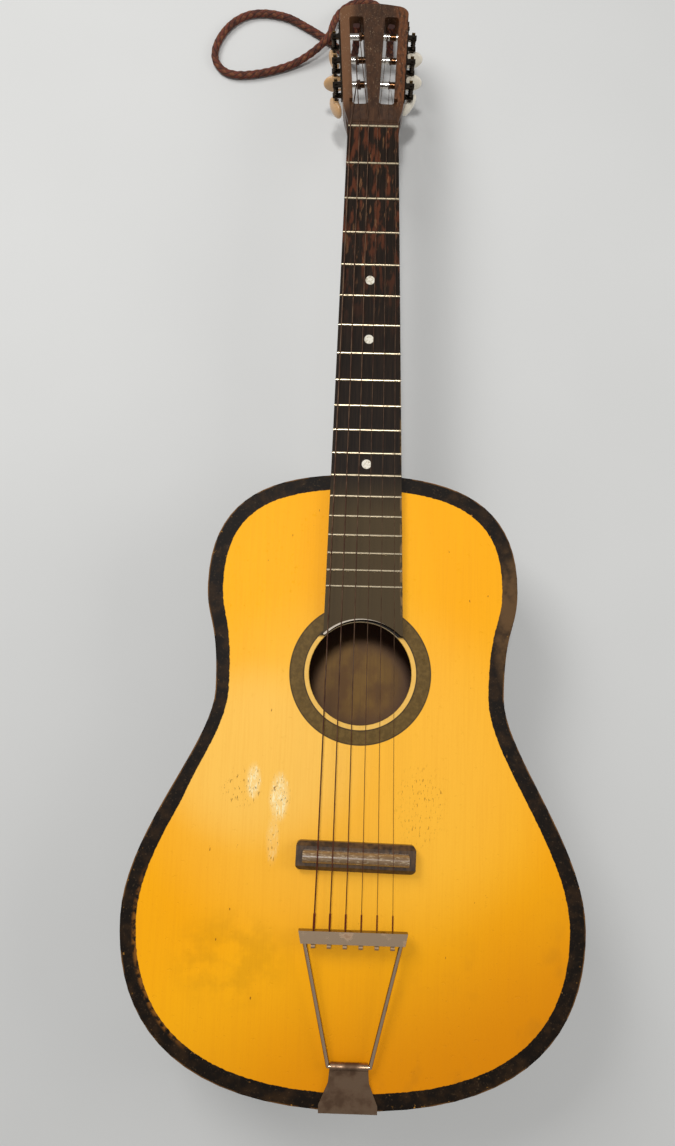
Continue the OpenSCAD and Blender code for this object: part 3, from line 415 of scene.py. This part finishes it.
# ---- Finishes ----
def soundboard_finish():
    """Yellow-orange varnish inside a black painted border, pitted and chipped, round a dark rosette, with
    light, glare and shade painted into it.
    """
    f = Finish("soundboard", roughness=0.5, specular=0.12)
    rim_node = f.nodes.new("ShaderNodeAttribute")
    rim_node.attribute_name = "rim"
    rim = rim_node.outputs["Fac"]

    grain = f.noise(900, 3, (1, 0.02, 1))
    broad = f.noise(9, 2, (1, 0.5, 1), 3.0)
    varnish = f.mix(f.step(broad, 0.3, 0.75), linear(253, 172, 6), linear(255, 181, 16))
    # Painted light: a paler pool across the middle of the board, where the light falls most.
    middle = f.spot(-0.01, -0.235, 0.40, 0.32)
    varnish = f.mix(f.times(middle, 0.55), varnish, linear(255, 194, 72))
    # Painted glare: a paler spot on the varnish left of the strings, where a lamp is reflected.
    glare_spot = f.spot(-0.080, -0.225, 0.20, 0.17)
    varnish = f.mix(f.times(glare_spot, 0.60), varnish, linear(255, 204, 100))
    # Painted shade: the varnish darkens towards the lower end, more on the treble side, where the light falls
    # off; soiling is kept to the same area.
    low = f.step(f.math("SUBTRACT", f.y, f.times(f.x, 0.45)), -0.33, -0.52)
    varnish = f.mix(f.times(low, 0.9), varnish, linear(220, 132, 0))
    varnish = f.mix(f.times(f.step(grain, 0.40, 0.70), 0.09), varnish, linear(214, 132, 16))
    soiled = f.step(f.noise(26, 4, (1, 0.6, 1), 7.0), 0.55, 0.75)
    varnish = f.mix(f.times(soiled, low, 0.35), varnish, linear(150, 100, 24))

    # Flaked patches: narrow upright flecks where the varnish has lifted, painted pale as glints of reflected
    # light, with short dark pits among them.
    fleck_noise = f.noise(640, 5, (1, 0.22, 1), 1.0, 0.8)
    pit_noise = f.noise(820, 4, (1, 0.26, 1), 5.0, 0.65)
    for x, y, width, length, pale, pitted in FLAKED:
        patch = f.spot(x, y, width, length)
        if pale:
            # Painted highlight: pale glints on the lifted flecks.
            glinting_flecks = f.step(f.math("ADD", fleck_noise, f.times(patch, 0.14)), 0.60, 0.72)
            shine = f.math("MAXIMUM", f.times(glinting_flecks, patch), f.times(patch, patch, 0.35))
            varnish = f.mix(f.times(shine, pale), varnish, linear(255, 238, 184))
        pit = f.times(f.step(pit_noise, 0.60, 0.63), patch, pitted)
        varnish = f.mix(f.times(pit, 0.85), varnish, linear(96, 58, 16))
    smudge = f.times(f.spot(-0.098, -0.385, 0.110, 0.090), f.step(f.noise(60, 4, shift=13.0), 0.35, 0.65))
    varnish = f.mix(f.times(smudge, 0.20), varnish, linear(150, 108, 10))
    stray = f.times(f.step(f.noise(300, 2, (1, 0.35, 1), 9.0), 0.76, 0.80), 0.8)
    varnish = f.mix(stray, varnish, linear(120, 70, 16))

    # The rosette: a bare cream ring at the hole, then a dark painted one.
    away = f.from_hole()
    cream = f.mix(f.noise(200, 3), linear(246, 200, 104), linear(228, 172, 74))
    # Painted shadow: the cream ring goes dark where the fingerboard's end shades it.
    neck_shadow = f.step(f.y, *[HOLE_AT.y + past for past in NECK_SHADOW])
    cream = f.mix(neck_shadow, cream, linear(26, 18, 12))
    # Painted highlight: a pale line on the hole's lip inside that shadow, where its edge catches the light.
    lip = f.times(neck_shadow, f.step(away, *HOLE_LIP))
    cream = f.mix(f.times(lip, 0.8), cream, linear(206, 182, 140))
    dark = f.mix(f.step(f.noise(300, 4), 0.35, 0.7), linear(92, 70, 30), linear(110, 85, 40))
    board = f.mix(f.step(away, *ROSETTE_EDGE), varnish, dark)
    outer_line = f.times(*[f.step(away, *edge) for edge in OUTER_LINE])
    board = f.mix(f.times(outer_line, 0.6), board, linear(48, 38, 26))
    inner_line = f.times(*[f.step(away, *edge) for edge in INNER_LINE])
    board = f.mix(f.times(inner_line, 0.7), board, linear(50, 40, 28))
    board = f.mix(f.step(away, *CREAM_EDGE), board, cream)

    # The border: black-brown paint with a ragged inner edge, chipped along both edges.
    ragged = f.math("ADD", rim, f.times(f.math("SUBTRACT", f.noise(340, 5, shift=2.0), 0.5), 0.0014))
    narrowed = f.times(f.spot(-0.125, -0.19, 0.06, 0.20), 0.0022)
    border = f.step(f.math("ADD", ragged, narrowed), *BORDER_EDGE)
    paint = f.mix(f.step(f.noise(90, 4, shift=4.0), 0.4, 0.75), linear(20, 13, 7), linear(48, 32, 16))
    chips = f.step(f.noise(240, 5, shift=6.0), 0.66, 0.70)
    outer = f.step(rim, 0.0042, 0.0004)
    inner = f.step(rim, 0.0095, 0.0130)
    bare = f.times(chips, f.math("MAXIMUM", outer, inner), 0.9)
    paint = f.mix(bare, paint, linear(196, 138, 56))
    # Worn bare outer edge, painted pale also as the highlight along the rounded rim.
    edge_wear_and_highlight = f.times(f.step(rim, 0.0014, 0.0004), f.step(f.noise(45, 4, shift=14.0), 0.44, 0.58))
    paint = f.mix(f.times(edge_wear_and_highlight, 0.75), paint, linear(138, 96, 52))
    band = f.step(rim, 0.0085, 0.0115)
    low_left = f.times(f.spot(-0.165, -0.405, 0.10, 0.20), f.step(f.noise(170, 4, shift=15.0), 0.40, 0.56))
    paint = f.mix(f.times(band, low_left, 0.8), paint, linear(140, 88, 28))
    scuffed = f.times(f.step(f.noise(700, 3, shift=8.0), 0.62, 0.68), 0.35)
    paint = f.mix(scuffed, paint, linear(98, 78, 54))
    rubbed = f.times(f.spot(0.124, -0.105, 0.034, 0.14), f.step(f.noise(90, 3, shift=12.0), 0.20, 0.60))
    paint = f.mix(f.times(rubbed, 0.8), paint, linear(104, 76, 46))
    f.colour(f.mix(border, board, paint))
    f.roughness(f.math("MAXIMUM", border, f.times(soiled, 0.4)), 0.48, 0.55)
    relief = f.math("ADD", f.times(grain, 0.25), f.times(f.step(pit_noise, 0.66, 0.60), 0.25))
    f.bump(f.math("SUBTRACT", relief, f.times(bare, 0.8)), 0.00012)
    return f.material


def painted_sides():
    """Black-brown paint, chipped along the upper edge and scuffed below."""
    f = Finish("painted_sides", roughness=0.42, specular=0.3)
    top = f.step(f.z, *SIDE_TOP)
    chips = f.times(f.step(f.noise(230, 5, shift=6.0), 0.58, 0.64), top)
    paint = f.mix(f.step(f.noise(60, 5), 0.4, 0.75), linear(24, 17, 11), linear(46, 33, 22))
    scuffs = f.step(f.noise(420, 4, (1, 1, 0.3)), 0.64, 0.70)
    paint = f.mix(f.times(scuffs, 0.45), paint, linear(112, 92, 68))
    f.colour(f.mix(chips, paint, linear(190, 134, 60)))
    f.bump(f.noise(500, 4), 0.0001)
    return f.material


def grained(name, dark, pale, roughness, along_scale=0.03, figure=500):
    """Wood with its grain along Y."""
    f = Finish(name, roughness=roughness)
    grain = f.noise(figure, 4, (1, along_scale, 1))
    blotch = f.noise(30, 3, shift=3.0)
    share = f.math("ADD", f.times(grain, 0.7), f.times(blotch, 0.3))
    f.colour(f.mix(f.step(share, 0.32, 0.68), dark, pale))
    f.bump(grain, 0.00008)
    return f.material


def back_finish():
    """Brown inside, where the hole shows it, with a painted pool of light and painted shade round it, and
    varnished dark outside.
    """
    f = Finish("body_back", roughness=0.6)
    grain = f.noise(260, 4, (1, 0.04, 1))
    blotch = f.step(f.noise(45, 4, (1, 0.7, 1), 2.0), 0.35, 0.65)
    below, width, length = LIT_BACK
    # Painted light: a paler pool on the back below the hole's centre, with painted shade darker round it.
    lit = f.spot(HOLE_AT.x, HOLE_AT.y - below, width, length)
    inside = f.mix(blotch, linear(136, 90, 18), linear(172, 124, 34))
    inside = f.mix(f.times(lit, 0.9), linear(96, 56, 22), inside)
    inside = f.mix(f.times(f.step(grain, 0.45, 0.65), 0.25), inside, linear(112, 78, 30))
    outside = f.mix(f.step(grain, 0.35, 0.65), linear(92, 54, 28), linear(122, 74, 38))
    f.colour(f.mix(f.step(f.z, *BACK_SKIN), outside, inside))
    f.bump(grain, 0.00008)
    return f.material


def neck_finish():
    """Warm brown varnish; the head is paler on its bass edge, redder on its treble edge, and scratched."""
    f = Finish("neck", roughness=0.34, specular=0.3)
    grain = f.noise(420, 3, (1, 0.03, 1))
    wood = f.mix(f.step(grain, 0.30, 0.75), linear(54, 34, 20), linear(78, 52, 34))
    head = f.step(f.y, *HEAD_FROM)
    wood = f.mix(f.times(f.step(f.noise(60, 3, shift=3.0), 0.5, 0.75), 0.5), wood, linear(46, 30, 20))
    left = f.times(f.step(f.x, -0.018, -0.030), head)
    wood = f.mix(f.times(left, 0.6), wood, linear(128, 88, 58))
    right = f.times(f.step(f.x, 0.013, 0.022), head)
    wood = f.mix(f.times(right, f.step(grain, 0.3, 0.6), 0.4), wood, linear(136, 78, 40))
    scratch = f.times(f.step(f.noise(1500, 2, (1, 0.03, 1), 11.0), 0.66, 0.69), head)
    wood = f.mix(f.times(scratch, 0.6), wood, linear(184, 156, 122))
    f.colour(wood)
    f.bump(f.math("SUBTRACT", grain, scratch), 0.0001)
    return f.material


def fingerboard_finish():
    """Near-black, rubbed to red-brown by the nut, with a painted grey sheen over the body, and a pale lip at
    its arc painted as the highlight on its rubbed top edge.
    """
    f = Finish("fingerboard", roughness=0.5, specular=0.1)
    grain = f.noise(800, 4, (1, 0.04, 1))
    wood = f.mix(f.step(grain, 0.35, 0.7), linear(24, 16, 10), linear(38, 27, 18))
    by_nut = f.step(f.y, 0.12, 0.26)
    streak = f.step(f.noise(210, 5, (1, 0.22, 1), 4.0), 0.50, 0.62)
    wood = f.mix(f.times(streak, by_nut, 0.5), wood, linear(112, 58, 34))
    pale_streak = f.times(f.step(f.noise(330, 4, (1, 0.2, 1), 8.0), 0.60, 0.68), by_nut)
    wood = f.mix(f.times(pale_streak, 0.4), wood, linear(148, 102, 66))
    # Painted sheen: the board turns grey-brown over the body, where it reflects the overhead light.
    sheen_over_body = f.step(f.y, 0.020, -0.030)
    wood = f.mix(f.times(sheen_over_body, 0.68), wood, linear(84, 68, 42))
    # Painted highlight: a pale line on the rubbed top edge of the board's arc by the hole.
    lip = f.times(f.step(f.from_hole(), *BOARD_ARC_LIP), f.step(f.z, *BOARD_LIP_TOP))
    wood = f.mix(f.times(lip, 0.85), wood, linear(222, 208, 190))
    side = f.math("ADD", f.x, f.times(f.y, BOARD_SLOPE))
    edge = f.times(f.step(side, *BOARD_WORN), f.step(f.y, 0.17, 0.13), f.step(f.y, -0.112, -0.100))
    worn_edge = f.times(edge, f.step(f.noise(240, 4, (1, 0.4, 1)), 0.46, 0.58))
    wood = f.mix(f.times(worn_edge, 0.6), wood, linear(150, 116, 66))
    f.colour(wood)
    f.bump(grain, 0.00009)
    return f.material


def metal(name, colour, stain, roughness=0.35, stained=(0.55, 0.72), scale=220, speck=0.0, side_shade=0.0):
    """Metal with stains over it, freckles of rust by speck, and painted shade on the sides, darker than the
    top, by the last argument.
    """
    f = Finish(name, roughness=roughness, metallic=1.0)
    dirt = f.step(f.noise(scale, 5, shift=3.0), *stained)
    shown = f.mix(f.times(dirt, 0.75), linear(*colour), linear(*stain))
    if speck:
        freckle = f.step(f.noise(900, 3, shift=5.0), 0.66, 0.70)
        shown = f.mix(f.times(freckle, speck), shown, linear(118, 66, 40))
    if side_shade:
        # Painted shade: sides that face away from the light are coloured darker than the top.
        shown = f.mix(f.times(f.step(f.facing_up(), 0.90, 0.45), side_shade), shown, linear(44, 28, 18))
    f.colour(shown)
    f.roughness(dirt, roughness, min(roughness + 0.3, 0.9))
    f.bump(f.noise(1400, 3), 0.00003)
    return f.material


def string_finish():
    """Rusted wire, redder towards the tailpiece, with bright ball ends."""
    f = Finish("strings", roughness=0.5, metallic=0.6)
    rust = f.step(f.noise(500, 4, (1, 0.2, 1)), 0.35, 0.65)
    wire = f.mix(rust, linear(96, 72, 52), linear(66, 38, 24))
    low = f.step(f.y, -0.16, -0.30)
    wire = f.mix(f.times(low, 0.55), wire, linear(104, 36, 18))
    lock = f.step(f.y, *LOCK_FROM)
    wire = f.mix(f.times(lock, 0.85), wire, linear(118, 44, 24))
    f.colour(f.mix(f.step(f.y, *BALL_FROM), wire, linear(170, 140, 108)))
    winding = f.nodes.new("ShaderNodeTexWave")
    winding.bands_direction = "Y"
    winding.inputs["Scale"].default_value = WINDING_SCALE
    f.links.new(f.place, winding.inputs["Vector"])
    f.bump(winding.outputs["Fac"], 0.00005)
    return f.material


def roller_finish():
    """Steel with painted highlights at both sides of the slot, dark with grease and rust under the windings.
    """
    f = Finish("rollers", roughness=0.18, metallic=1.0)
    sideways = f.math("ABSOLUTE", f.math("SUBTRACT", f.math("ABSOLUTE", f.x), ROLLER_MIDDLE))
    # Painted highlight: the rollers' ends either side of the windings are coloured near-white.
    bright = f.step(sideways, *ROLLER_BRIGHT)
    grease = f.mix(f.noise(500, 3), linear(58, 40, 26), linear(104, 72, 46))
    f.colour(f.mix(bright, grease, linear(236, 230, 220)))
    f.bump(f.noise(1400, 3), 0.00002)
    return f.material


def button_finish():
    """Aged cream plastic, yellower on the bass side."""
    f = Finish("buttons", roughness=0.32, coat=0.3)
    treble = f.step(f.x, -0.01, 0.01)
    cream = f.mix(treble, linear(204, 162, 114), linear(240, 231, 212))
    dirt = f.step(f.noise(180, 4), 0.5, 0.72)
    f.colour(f.mix(f.times(dirt, 0.22), cream, linear(176, 142, 98)))
    f.bump(f.noise(700, 2), 0.00004)
    return f.material


def dot_finish():
    """Yellowed white inlay."""
    f = Finish("dots", roughness=0.4)
    f.colour(f.mix(f.step(f.noise(500, 4), 0.45, 0.7), linear(226, 220, 204), linear(178, 166, 140)))
    return f.material


def crest_finish():
    """Polished brown ridge with bright streaks along it, painted as highlights."""
    f = Finish("bridge_crest", roughness=0.26, coat=0.4)
    # Painted highlight: bright streaks along the ridge.
    painted_glints = f.step(f.noise(1100, 4, (0.25, 1, 1), 3.0), 0.54, 0.64)
    base = f.mix(f.noise(150, 3), linear(104, 80, 54), linear(146, 118, 86))
    f.colour(f.mix(f.times(painted_glints, 0.5), base, linear(206, 186, 152)))
    f.bump(painted_glints, 0.00006)
    return f.material


# ---- The soundboard, as a piece with a rounded, measured edge ----
RIM_STEPS = (0.0, 0.0003, 0.001, 0.0025, 0.004, 0.006, 0.0085, 0.011, 0.0125, 0.0135, 0.015, 0.018)
EDGE_ROUND = 0.0004
HOLE_ROUND = 0.0005
ROUND_REACH = 0.0006
FAR_FROM_EDGE = 0.03


def make_soundboard():
    """The board with its edge rounded, and each point's distance from the edge kept for the paint."""
    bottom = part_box("soundboard")[0].z
    mesh = bmesh.new()
    rim = mesh.verts.layers.float.new("rim")

    def ring(points, z, distance):
        made = [mesh.verts.new((p.x, p.y, z)) for p in points]
        for vertex in made:
            vertex[rim] = distance
        return made

    def join(outer, inner):
        for k in range(len(outer)):
            n = (k + 1) % len(outer)
            mesh.faces.new((outer[k], outer[n], inner[n], inner[k])).smooth = True

    under = ring(OUTLINE, bottom, 0.0)
    edge = ring(OUTLINE, BOARD_TOP - EDGE_ROUND, 0.0)
    join(under, edge)
    last = edge
    for distance in RIM_STEPS[1:]:
        drop = EDGE_ROUND * max(0.0, 1 - distance / ROUND_REACH) ** 2
        now = ring(inset(OUTLINE, distance), BOARD_TOP - drop, distance)
        join(last, now)
        last = now
    lip = ring(inset(HOLE_RIM, -HOLE_ROUND), BOARD_TOP, FAR_FROM_EDGE)
    throat = ring(HOLE_RIM, BOARD_TOP - HOLE_ROUND, FAR_FROM_EDGE)
    join(lip, throat)
    under_hole = ring(HOLE_RIM, bottom, FAR_FROM_EDGE)
    join(throat, under_hole)
    for outer, inner in ((last, lip), (under, under_hole)):
        edges = [mesh.edges.get((loop[k - 1], loop[k]))
                 for loop in (outer, inner) for k in range(len(loop))]
        bmesh.ops.triangle_fill(mesh, edges=edges, use_beauty=True)
    bmesh.ops.recalc_face_normals(mesh, faces=mesh.faces)
    board = add_mesh("soundboard_top", mesh)
    board.data.materials.append(soundboard_finish())
    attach(board, "guitar")
    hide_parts("soundboard")


make_soundboard()


# ---- Finishes on the CAD nodes ----
def dress(finish, *names):
    """One finish on the nodes named."""
    for name in names:
        data = NODES[name].data
        data.materials.clear()
        data.materials.append(finish)


def numbered(*parts):
    """The names of every string's own copies of the parts."""
    return [f"{part}_{i}" for part in parts for i in range(1, STRINGS + 1)]


INNER_WOOD = grained("inner_wood", linear(150, 116, 66), linear(190, 152, 96), 0.7)
BRIDGE_WOOD = grained("bridge_wood", linear(44, 29, 17), linear(98, 70, 40), 0.36, 0.4, 260)
# Its last value paints shade on the sides of the tailpiece's wire and bar.
NICKEL = metal("nickel", (236, 204, 170), (132, 96, 70), 0.24, (0.56, 0.76), 110, 0.15, 0.85)
DULL_NICKEL = metal("dull_nickel", (168, 138, 112), (78, 56, 42), 0.34, (0.36, 0.62), 60, 0.2)
DARK_STEEL = metal("dark_steel", (60, 52, 44), (30, 24, 18), 0.42)
TARNISHED_BRASS = metal("tarnished_brass", (84, 66, 40), (44, 34, 22), 0.45)
FRET_METAL = metal("fret_metal", (206, 190, 160), (150, 132, 100), 0.3)
SCREW_STEEL = metal("screw_steel", (84, 76, 66), (54, 38, 26), 0.4, speck=0.4)

dress(painted_sides(), "side_bass", "side_treble")
dress(back_finish(), "back_plate")
dress(INNER_WOOD, "neck_block", "tail_block", "linings", "top_braces", "back_braces")
dress(neck_finish(), "neck", "string_guide")
dress(fingerboard_finish(), "fingerboard")
dress(FRET_METAL, "frets")
dress(dot_finish(), "position_dots")
dress(BRIDGE_WOOD, "bridge_base")
dress(crest_finish(), "bridge_saddle")
dress(NICKEL, "tailpiece_wire", "tailpiece_bar")
dress(DULL_NICKEL, "tailpiece_base")
dress(SCREW_STEEL, "tailpiece_screws", "tuner_plate_screws", *numbered("gear_screw"))
dress(DARK_STEEL, "tuner_plate_bass", "tuner_plate_treble", *numbered("worm_shaft"))
dress(TARNISHED_BRASS, *numbered("gear"))
dress(roller_finish(), *numbered("roller"))
dress(button_finish(), *numbered("button"))
dress(string_finish(), *numbered("string"))


# ---- Stage and light ----
FLOOR_HALF = 4.0
FLOOR_DROP = 0.0002
LAMP_TARGET = (0, -0.1, 0)
LAMPS = (("key", (-0.12, 0.16, 2.20), 0.22, 18.5),
         ("soft", (-0.95, 1.05, 1.50), 0.9, 18),
         ("fill", (1.9, 0.2, 1.20), 1.2, 10))
SKY_STRENGTH = 0.24


def make_floor():
    """A pale floor just under the back."""
    mesh = bmesh.new()
    corners = ((-1, -1), (1, -1), (1, 1), (-1, 1))
    mesh.faces.new([mesh.verts.new((x * FLOOR_HALF, y * FLOOR_HALF, -FLOOR_DROP)) for x, y in corners])
    floor = add_mesh("floor", mesh)
    f = Finish("floor", roughness=0.9)
    f.colour(f.mix(f.noise(3, 3), linear(206, 206, 204), linear(216, 216, 214)))
    floor.data.materials.append(f.material)


def add_lamp(name, place, size, power):
    """A square lamp turned to the board's middle."""
    data = bpy.data.lights.new(name, "AREA")
    data.size = size
    data.energy = power
    lamp = bpy.data.objects.new(name, data)
    lamp.location = place
    lamp.rotation_euler = (Vector(LAMP_TARGET) - Vector(place)).to_track_quat("-Z", "Y").to_euler()
    SCENE.collection.objects.link(lamp)


def light_scene():
    """A small key nearly overhead, a soft lamp towards the head and the bass side, a fill and an even sky."""
    for lamp in LAMPS:
        add_lamp(*lamp)
    world = bpy.data.worlds.new("world")
    world.use_nodes = True
    background = world.node_tree.nodes["Background"]
    background.inputs["Color"].default_value = (1, 1, 1, 1)
    background.inputs["Strength"].default_value = SKY_STRENGTH
    SCENE.world = world
    SCENE.view_settings.view_transform = "Standard"


make_floor()
light_scene()
